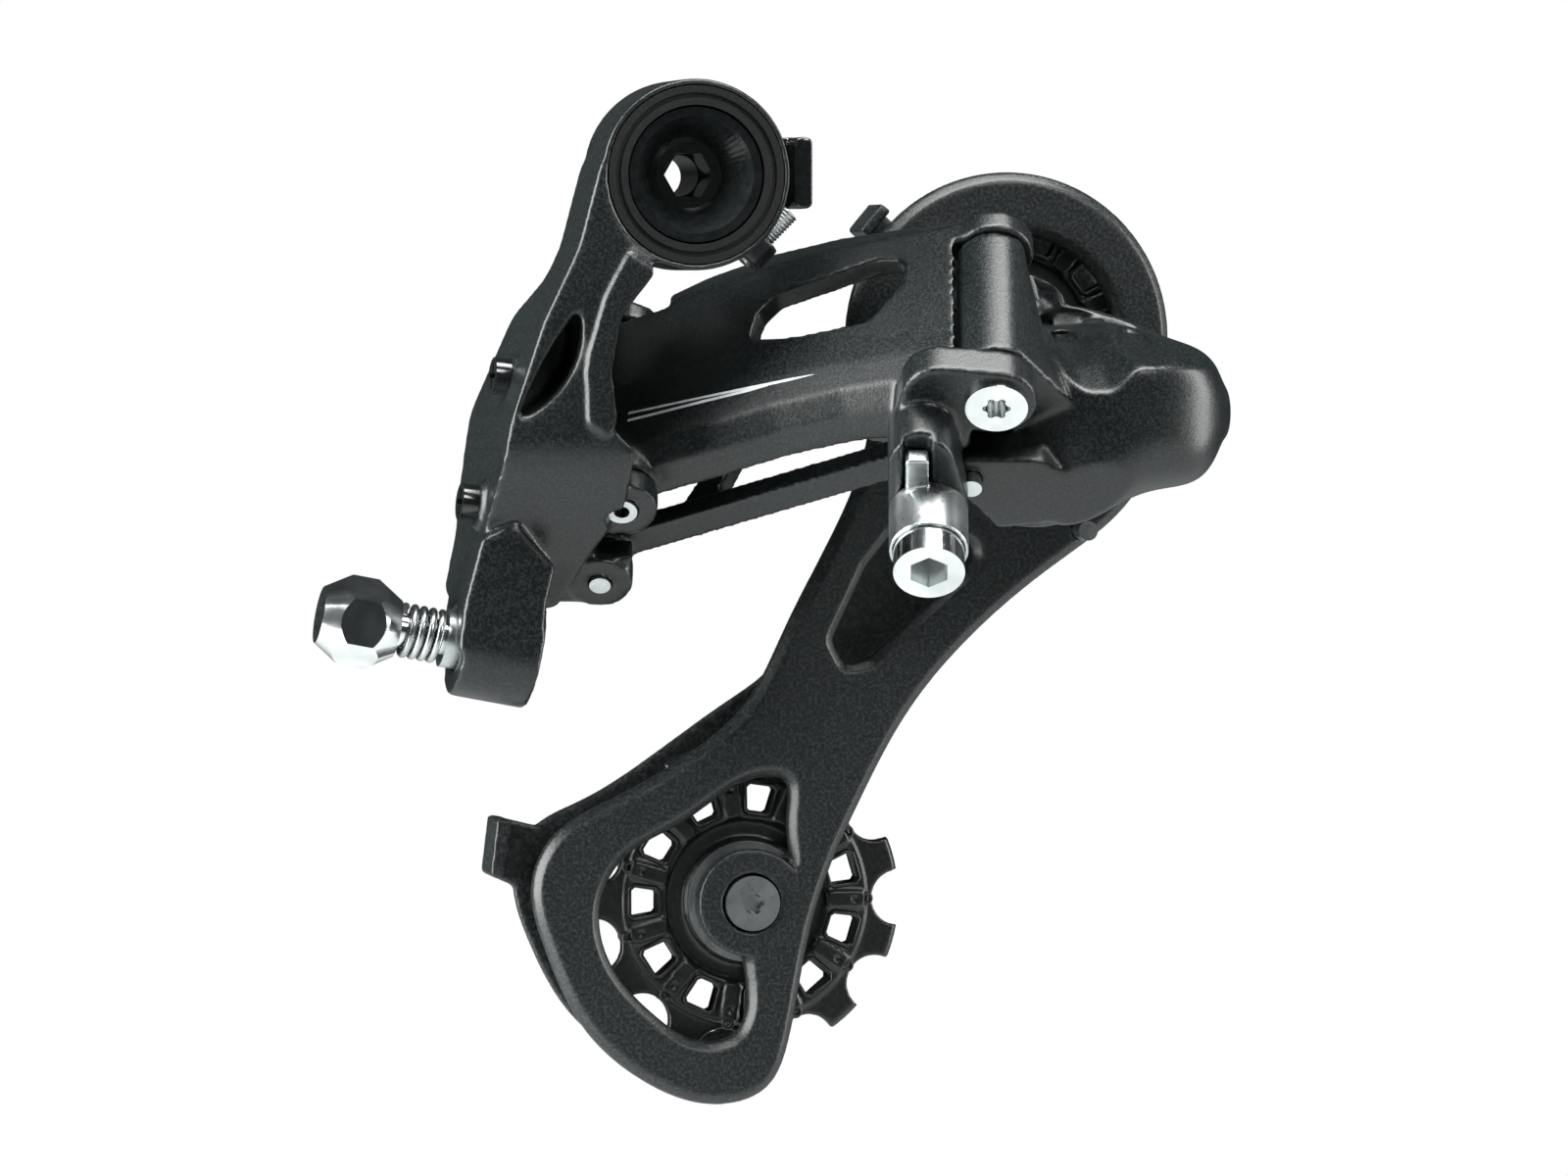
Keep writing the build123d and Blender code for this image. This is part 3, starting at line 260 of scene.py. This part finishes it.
finishes = {
    "black_casting": speckled_black("cast_composite", (0.003, 0.0045, 0.0045), (0.014, 0.019, 0.019), 2600, 0.30, 0.00003),
    "black_plate": speckled_black("plate_composite", (0.004, 0.0055, 0.0055), (0.022, 0.028, 0.028), 2200, 0.36, 0.00004),
    "black_polymer": speckled_black("pulley_polymer", (0.002, 0.003, 0.003), (0.008, 0.010, 0.010), 1800, 0.34, 0.00001),
    "black_rubber": speckled_black("seal_rubber", (0.002, 0.002, 0.002), (0.007, 0.008, 0.008), 3000, 0.40, 0.00001),
    "black_link": speckled_black("link_coating", (0.004, 0.006, 0.006), (0.014, 0.018, 0.018), 1500, 0.30, 0.00001),
}

# %% [markdown]
# The metals differ in how they were worked: the knob and clamp are polished and plated, pins
# and caps keep fine turning marks, and the hanger bolt is blackened.

# %% Metal finishes
def worked_metal(name, colour, worn, roughness, grain, relief, stretch=(1, 1, 1)):
    finish = Finish(name)
    marks = finish.noise(grain, 3.0, 0.6, stretch)
    smears = finish.noise(180.0, 3.0)
    tint = finish.ramp(smears, [(0.35, worn), (0.65, colour)])
    rough = roughness + 0.10 * marks + 0.08 * smears
    bump = finish.bump(marks, relief)
    return finish.set(Base_Color=tint, Metallic=1.0, Roughness=rough, Normal=bump)


def blackened_steel(name):
    finish = Finish(name)
    marks = finish.noise(900.0, 3.0)
    tint = finish.ramp(marks, [(0.3, (0.004, 0.005, 0.005)), (0.7, (0.010, 0.012, 0.012))])
    rough = 0.10 + 0.10 * marks
    return finish.set(Base_Color=tint, Roughness=rough, Normal=finish.bump(marks, 0.00001), Specular_IOR_Level=0.9)


finishes["chrome"] = worked_metal("plated_chrome", (0.86, 0.88, 0.88), (0.66, 0.69, 0.69), 0.04, 700, 0.000004)
finishes["bright_steel"] = worked_metal("turned_steel", (0.62, 0.65, 0.65), (0.42, 0.45, 0.45), 0.20, 1500, 0.000006)
finishes["spring_steel"] = worked_metal("spring_wire", (0.55, 0.57, 0.57), (0.30, 0.32, 0.32), 0.18, 1800, 0.000008)
finishes["bronze"] = worked_metal("bearing_bronze", (0.45, 0.30, 0.15), (0.30, 0.19, 0.09), 0.28, 1200, 0.000006)
finishes["black_steel"] = blackened_steel("blackened_steel")

floor_finish = Finish("pale_floor")
floor_finish.set(
    Base_Color=floor_finish.ramp(floor_finish.noise(3.0), [(0.3, (0.50, 0.52, 0.52)), (0.7, (0.56, 0.58, 0.58))]),
    Roughness=0.8)
glow = floor_finish.node("ShaderNodeEmission", {}, {"Color": (1, 1, 1, 1), "Strength": 1.0})
shown = floor_finish.node("ShaderNodeLightPath", {}, {}, "Is Camera Ray")
plain = Value(floor_finish, floor_finish.shader.outputs[0])
mixed = floor_finish.node("ShaderNodeMixShader", {}, {0: shown, 1: plain, 2: glow})
floor_finish.feed(floor_finish.tree.nodes["Material Output"].inputs["Surface"], mixed)
floor_mesh.materials.append(floor_finish.material)

for name, node in nodes.items():
    paint = finishes[slot_of[name]].material
    if not node.material_slots:
        node.data.materials.append(paint)
    for place in node.material_slots:
        place.material = paint
print("finishes:", sorted(finishes))

# %% [markdown]
# Moulded and pressed pieces have no sharp edge. A merged copy of each is rebuilt as an even
# skin of small cells and then relaxed, which rounds every corner and fills every inner one
# like a mould does. The castings get the most rounds, the pressed plates and pulleys a few, so
# their bevels and teeth stay crisp. Bevels on each edge were the other way, but they break
# where many walls meet, and this never does.

# %% Rounded skins
def merged_copy(node, name):
    mesh = nodes[node].data.copy()
    mesh.name = name
    skin = bmesh.new()
    skin.from_mesh(mesh)
    bmesh.ops.remove_doubles(skin, verts=skin.verts, dist=0.002 * MM)
    skin.to_mesh(mesh)
    skin.free()
    piece = bpy.data.objects.new(name, mesh)
    bpy.context.scene.collection.objects.link(piece)
    return piece


def baked(piece):
    """Replace a piece's mesh by what its modifiers make of it, and remove them."""
    graph = bpy.context.evaluated_depsgraph_get()
    mesh = bpy.data.meshes.new_from_object(piece.evaluated_get(graph))
    piece.modifiers.clear()
    piece.data = mesh
    return piece


def painted(piece, material_slot, body, *replaced):
    """Give a piece its finish and body, and hide the frame nodes it stands for."""
    piece.data.materials.clear()
    piece.data.materials.append(finishes[material_slot].material)
    piece.data.polygons.foreach_set("use_smooth", [True] * len(piece.data.polygons))
    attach(piece, body)
    if replaced:
        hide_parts(*replaced)
    return piece


def rise(value, start, end):
    """0 before start, 1 after end, and a smooth rise between them."""
    share = min(1.0, max(0.0, (value - start) / (end - start)))
    return share * share * (3 - 2 * share)


def saddle(point):
    """The lower body's outboard shoulder falls back above a ridge, with two pockets in the slope."""
    x, y, z = point / MM
    ridge = -26.5 - 3.5 * rise(x, 47, 53) * rise(-x, -60, -55)
    height = max(0.0, z - ridge)
    side = rise(-y, 4, 20) * rise(x, 46, 52) * rise(-x, -76, -68)
    y += 1.15 * height * side
    z -= 0.22 * height * side
    for pocket_x, pocket_width in ((52.6, 2.3), (61.2, 2.6)):
        away = math.hypot((x - pocket_x) / pocket_width, (z + 23.4) / 2.2)
        y += 3.6 * rise(-away, -1.25, -0.6) * rise(-y, 12, 16)
    return Vector((x, y, z)) * MM


def rounded(node, cell, rounds, shape=None):
    piece = merged_copy(node, node + "_skin")
    skin = piece.modifiers.new("skin", "REMESH")
    skin.mode = "VOXEL"
    skin.voxel_size = cell * MM
    if shape:
        baked(piece)
        for vertex in piece.data.vertices:
            vertex.co = shape(vertex.co)
    relax = piece.modifiers.new("relax", "SMOOTH")
    relax.factor = 0.5
    relax.iterations = rounds
    painted(baked(piece), slot_of[node], body_of[node], node)
    print(piece.name, len(piece.data.polygons), "cells")
    return piece


SKINS = {
    "upper_body": (0.42, 12),
    "outer_link": (0.36, 14),
    "lower_body": (0.42, 12),
    "outer_cage_plate": (0.38, 5),
    "inner_cage_plate": (0.38, 4),
    "inner_link": (0.34, 5),
    "stop_plate": (0.30, 4),
    "clamp_washer": (0.20, 5),
    "upper_pulley": (0.30, 3),
    "lower_pulley": (0.30, 3),
}
SHAPES = {"lower_body": saddle}
skins = {node: rounded(node, *how, SHAPES.get(node)) for node, how in SKINS.items()}

# %% [markdown]
# Coils, threads and the pulleys' window frames repeat, so each is a small Geometry Nodes tree
# with named sizes. The class below grows a tree call by call and turns it into a plain mesh.

# %% Recipes
class Recipe:
    """A Geometry Nodes tree with named sizes."""

    def __init__(self, name, **sizes):
        self.tree = bpy.data.node_groups.new(name, "GeometryNodeTree")
        sockets = self.tree.interface
        sockets.new_socket("Geometry", in_out="INPUT", socket_type="NodeSocketGeometry")
        sockets.new_socket("Geometry", in_out="OUTPUT", socket_type="NodeSocketGeometry")
        self.keys = {}
        for label, value in sizes.items():
            kind = "NodeSocketInt" if isinstance(value, int) else "NodeSocketFloat"
            socket = sockets.new_socket(label, in_out="INPUT", socket_type=kind)
            socket.default_value = value
            self.keys[label] = socket.identifier
        self.given = self.tree.nodes.new("NodeGroupInput")
        self.result = self.tree.nodes.new("NodeGroupOutput")

    def size(self, label):
        return self.given.outputs[label]

    def node(self, kind, settings=None, inputs=None, output=0):
        made = self.tree.nodes.new(kind)
        for key, value in (settings or {}).items():
            setattr(made, key, value)
        for key, value in (inputs or {}).items():
            if isinstance(value, bpy.types.NodeSocket):
                self.tree.links.new(value, made.inputs[key])
            else:
                made.inputs[key].default_value = value
        return made.outputs[output]

    def math(self, operation, first, second=0.0):
        return self.node("ShaderNodeMath", {"operation": operation}, {0: first, 1: second})

    def vector(self, x, y, z):
        return self.node("ShaderNodeCombineXYZ", {}, {"X": x, "Y": y, "Z": z})

    def joined(self, *parts):
        made = self.tree.nodes.new("GeometryNodeJoinGeometry")
        for part in parts:
            self.tree.links.new(part, made.inputs[0])
        return made.outputs[0]

    def close(self, geometry, material_slot):
        real = self.node("GeometryNodeRealizeInstances", {}, {"Geometry": geometry})
        paint = {"Geometry": real, "Material": finishes[material_slot].material}
        self.tree.links.new(self.node("GeometryNodeSetMaterial", {}, paint), self.result.inputs[0])
        return self

    def make(self, name, place, **sizes):
        """A piece at a place, which is a matrix from the tree's own frame to the part's."""
        piece = bpy.data.objects.new(name, bpy.data.meshes.new(name))
        bpy.context.scene.collection.objects.link(piece)
        grown = piece.modifiers.new("grown", "NODES")
        grown.node_group = self.tree
        for label, value in sizes.items():
            grown[self.keys[label]] = value
        baked(piece)
        piece.data.transform(place)
        print(name, len(piece.data.polygons), "faces")
        return piece


def along(start, axis):
    """A matrix that puts its origin at start and turns its Z axis along axis."""
    turn = Vector(axis).normalized().to_track_quat("Z", "X").to_matrix().to_4x4()
    return Matrix.Translation(Vector(start)) @ turn


# %% [markdown]
# The springs are round drawn wire. The barrel adjuster's spring presses the knob away from the
# body so its detents hold, and the return spring pulls the linkage back to the smallest sprocket.

# %% Coil springs
coil = Recipe("coil_spring", Turns=4.0, Radius=0.0033, Wire=0.00055, Length=0.005)
spiral = coil.node("GeometryNodeCurveSpiral", {}, {
    "Resolution": 40, "Rotations": coil.size("Turns"), "Start Radius": coil.size("Radius"),
    "End Radius": coil.size("Radius"), "Height": coil.size("Length")})
wire = coil.node("GeometryNodeCurvePrimitiveCircle", {}, {"Resolution": 12, "Radius": coil.size("Wire")})
wound = coil.node("GeometryNodeCurveToMesh", {}, {"Curve": spiral, "Profile Curve": wire, "Fill Caps": True})
coil.close(wound, "spring_steel")


def spring(node, start, axis, turns, radius, wire_radius, length):
    piece = coil.make(node + "_wire", along(start, axis), Turns=turns, Radius=radius * MM,
                      Wire=wire_radius * MM, Length=length * MM)
    return painted(piece, "spring_steel", body_of[node], node)


ADJUSTER_AXIS = Vector(joint["adjuster_turn"]["axis"])
ADJUSTER_START = Vector(joint["adjuster_turn"]["pos_m"])
spring("adjuster_spring", ADJUSTER_START + ADJUSTER_AXIS * 11.7 * MM, ADJUSTER_AXIS, 4.0, 3.3, 0.55, 5.2)
PIN_UP = Vector(joint["inner_link_pivot"]["axis"])
RETURN_START = Vector(joint["inner_link_pivot"]["pos_m"]) + PIN_UP * 12.4 * MM
spring("return_spring", RETURN_START, PIN_UP, 7.0, 2.9, 0.6, 10.4)

# %% [markdown]
# A thread is a sheet rolled round the screw whose radius rises and falls once in each pitch,
# and shifts by one pitch in each turn. The plain shank under it is turned down to the root.

# %% Threads
thread = Recipe("screw_thread", Radius=0.005, Depth=0.0005, Pitch=0.001, Length=0.01, Around=48, Along=80)
sheet = thread.node("GeometryNodeMeshGrid", {}, {
    "Size X": 1.0, "Size Y": 1.0, "Vertices X": thread.size("Around"), "Vertices Y": thread.size("Along")})
spot = thread.node("GeometryNodeInputPosition")
share_round = thread.math("ADD", thread.node("ShaderNodeSeparateXYZ", {}, {0: spot}, "X"), 0.5)
share_along = thread.math("ADD", thread.node("ShaderNodeSeparateXYZ", {}, {0: spot}, "Y"), 0.5)
height = thread.math("MULTIPLY", share_along, thread.size("Length"))
phase = thread.math("SUBTRACT", thread.math("DIVIDE", height, thread.size("Pitch")), share_round)
tooth = thread.math("ABSOLUTE", thread.math("SUBTRACT", thread.math("FRACT", phase), 0.5))
near_end = thread.math("MULTIPLY", thread.math("ABSOLUTE", thread.math("SUBTRACT", share_along, 0.5)), 2.0)
at_end = thread.math("GREATER_THAN", near_end, 0.985)
fall = thread.math("MAXIMUM", thread.math("MULTIPLY", tooth, 2.0), at_end)
reach = thread.math("SUBTRACT", thread.size("Radius"), thread.math("MULTIPLY", thread.size("Depth"), fall))
turned = thread.math("MULTIPLY", share_round, 2 * math.pi)
rolled = thread.vector(
    thread.math("MULTIPLY", reach, thread.math("COSINE", turned)),
    thread.math("MULTIPLY", reach, thread.math("SINE", turned)), height)
rolled_sheet = thread.node("GeometryNodeSetPosition", {}, {"Geometry": sheet, "Position": rolled})
seamed = thread.node("GeometryNodeMergeByDistance", {}, {"Geometry": rolled_sheet, "Distance": 0.000001})
thread.close(seamed, "black_steel")


def threaded(node, material_slot, start, axis, radius, depth, pitch, length):
    """Turn a screw's shank down to the root, and wrap a thread round it."""
    shank = merged_copy(node, node + "_shank")
    line, origin = Vector(axis).normalized(), Vector(start)
    for vertex in shank.data.vertices:
        away = vertex.co - origin
        rise = away.dot(line)
        out = away - line * rise
        if out.length > (radius - 0.05) * MM and -0.01 * MM < rise < (length + 0.01) * MM:
            if out.length < (radius + 0.02) * MM:
                vertex.co = origin + line * rise + out.normalized() * (radius - depth) * MM
    painted(shank, material_slot, body_of[node], node)
    shank.data.polygons.foreach_set("use_smooth", [False] * len(shank.data.polygons))
    wrap = thread.make(node + "_thread", along(start, axis), Radius=radius * MM, Depth=depth * MM,
                       Pitch=pitch * MM, Length=length * MM, Along=int(length / pitch * 8) + 1)
    return painted(wrap, material_slot, body_of[node])


SCREW_UP = Vector(joint["angle_screw_turn"]["axis"])
SCREW_FOOT = Vector(joint["angle_screw_turn"]["pos_m"])
threaded("b_angle_screw", "bright_steel", SCREW_FOOT, SCREW_UP, 1.5, 0.26, 0.5, 9.6)
threaded("hanger_bolt", "black_steel", Vector((0, 0.05, 0)) * MM, (0, 1, 0), 5.0, 0.5, 1.0, 8.45)

# %% [markdown]
# Each pulley carries eleven windows with raised frames, and a small ring between each pair. One
# frame and one ring are drawn, and the tree repeats them round the axis on both faces.

# %% Pulley frames
frames = Recipe("pulley_frames", Count=11, Middle=0.0146, Height=0.0044, Narrow=0.0036, Wide=0.0050,
                Bead=0.00032, Face=0.0017, Ring=0.0007, Ring_Radius=0.0176)
step = frames.math("DIVIDE", 2 * math.pi, frames.size("Count"))
bead = frames.node("GeometryNodeCurvePrimitiveCircle", {}, {"Resolution": 8, "Radius": frames.size("Bead")})
border = frames.node("GeometryNodeCurvePrimitiveQuadrilateral", {"mode": "TRAPEZOID"}, {
    "Height": frames.size("Height"), "Bottom Width": frames.size("Narrow"),
    "Top Width": frames.size("Wide"), "Offset": 0.0})
soft_border = frames.node("GeometryNodeFilletCurve", {}, {"Curve": border, "Radius": 0.0006})
frame_mesh = frames.node("GeometryNodeCurveToMesh", {}, {"Curve": soft_border, "Profile Curve": bead})
loop = frames.node("GeometryNodeCurvePrimitiveCircle", {}, {"Resolution": 16, "Radius": frames.size("Ring")})
ring_mesh = frames.node("GeometryNodeCurveToMesh", {}, {"Curve": loop, "Profile Curve": bead})


def ring_of(shape, radius, shift):
    """Repeat a shape round the axis, each copy turned to face outwards."""
    index = frames.node("GeometryNodeInputIndex")
    angle = frames.math("MULTIPLY", frames.math("ADD", index, shift), step)
    east = frames.math("MULTIPLY", radius, frames.math("COSINE", angle))
    north = frames.math("MULTIPLY", radius, frames.math("SINE", angle))
    points = frames.node("GeometryNodePoints", {}, {
        "Count": frames.size("Count"), "Position": frames.vector(east, north, 0.0)})
    facing = frames.vector(0.0, 0.0, frames.math("SUBTRACT", angle, math.pi / 2))
    turn = frames.node("FunctionNodeEulerToRotation", {}, {0: facing})
    return frames.node("GeometryNodeInstanceOnPoints", {}, {"Points": points, "Instance": shape, "Rotation": turn})


one_face = frames.joined(
    ring_of(frame_mesh, frames.size("Middle"), 0.0), ring_of(ring_mesh, frames.size("Ring_Radius"), 0.5))
near = frames.node("GeometryNodeTransform", {}, {
    "Geometry": one_face, "Translation": frames.vector(0.0, 0.0, frames.size("Face"))})
far = frames.node("GeometryNodeTransform", {}, {
    "Geometry": one_face, "Translation": frames.vector(0.0, 0.0, frames.math("MULTIPLY", frames.size("Face"), -1.0))})
frames.close(frames.joined(near, far), "black_polymer")


def pulley_frames(node, spin, first_tooth):
    centre = Matrix.Translation(Vector(joint[spin]["pos_m"]))
    place = centre @ Matrix.Rotation(math.radians(90), 4, "X") @ Matrix.Rotation(math.radians(first_tooth), 4, "Z")
    return painted(frames.make(node + "_frames", place), "black_polymer", body_of[node])


pulley_frames("upper_pulley", "guide_pulley_spin", 4.0)
pulley_frames("lower_pulley", "tension_pulley_spin", 16.3)

# %% [markdown]
# Two thin stripes are printed along the band of the outer link. Each is a strip of small faces
# laid on the moulded skin by casting rays down on it, and stands a hair proud, like thick ink.

# %% Printed stripes
DOWN_LINK = Vector((0.8515, -0.4491, 0.2706)).normalized()
OFF_LINK = -PIN_UP.cross(DOWN_LINK).normalized()
LINK_START = Vector(joint["shift"]["pos_m"])
link_skin = BVHTree.FromObject(skins["outer_link"], bpy.context.evaluated_depsgraph_get())


def on_link(distance, climb):
    """The point of the outer link's skin at a distance down the link and up the pins."""
    over = LINK_START + (DOWN_LINK * distance + PIN_UP * climb + OFF_LINK * 20) * MM
    hit = link_skin.ray_cast(over, -OFF_LINK)
    return hit[0] + hit[1] * 0.03 * MM


def stripe(name, start, end, width, steps=48):
    """A strip between two (distance, climb) places."""
    rows = []
    for step_number in range(steps + 1):
        share = step_number / steps
        distance = start[0] + (end[0] - start[0]) * share
        climb = start[1] + (end[1] - start[1]) * share
        taper = width * min(1.0, 6 * (1.0 - share) + 0.15) / 2
        rows.append([on_link(distance, climb - taper), on_link(distance, climb), on_link(distance, climb + taper)])
    points = [point for row in rows for point in row]
    faces = []
    for row_number in range(steps):
        for column in range(2):
            corner = row_number * 3 + column
            faces.append((corner, corner + 3, corner + 4, corner + 1))
    mesh = bpy.data.meshes.new(name)
    mesh.from_pydata(points, [], faces)
    piece = bpy.data.objects.new(name, mesh)
    bpy.context.scene.collection.objects.link(piece)
    mesh.update()
    if sum((face.normal.dot(OFF_LINK) for face in mesh.polygons)) < 0:
        mesh.flip_normals()
    ink_paint(piece)
    print(name, len(faces), "faces")
    return piece


def ink_paint(piece):
    piece.data.materials.append(ink.material)
    piece.data.polygons.foreach_set("use_smooth", [True] * len(piece.data.polygons))
    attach(piece, body_of["outer_link"])


ink = Finish("pale_ink")
patchy = ink.noise(900.0, 3.0)
ink.set(Base_Color=ink.ramp(patchy, [(0.3, (0.50, 0.53, 0.53)), (0.7, (0.68, 0.71, 0.71))]), Roughness=0.35 + 0.2 * patchy)
stripe("link_stripe_long", (2.8, 13.5), (30.6, 10.9), 0.42)
stripe("link_stripe_short", (2.7, 12.2), (23.8, 11.3), 0.42)
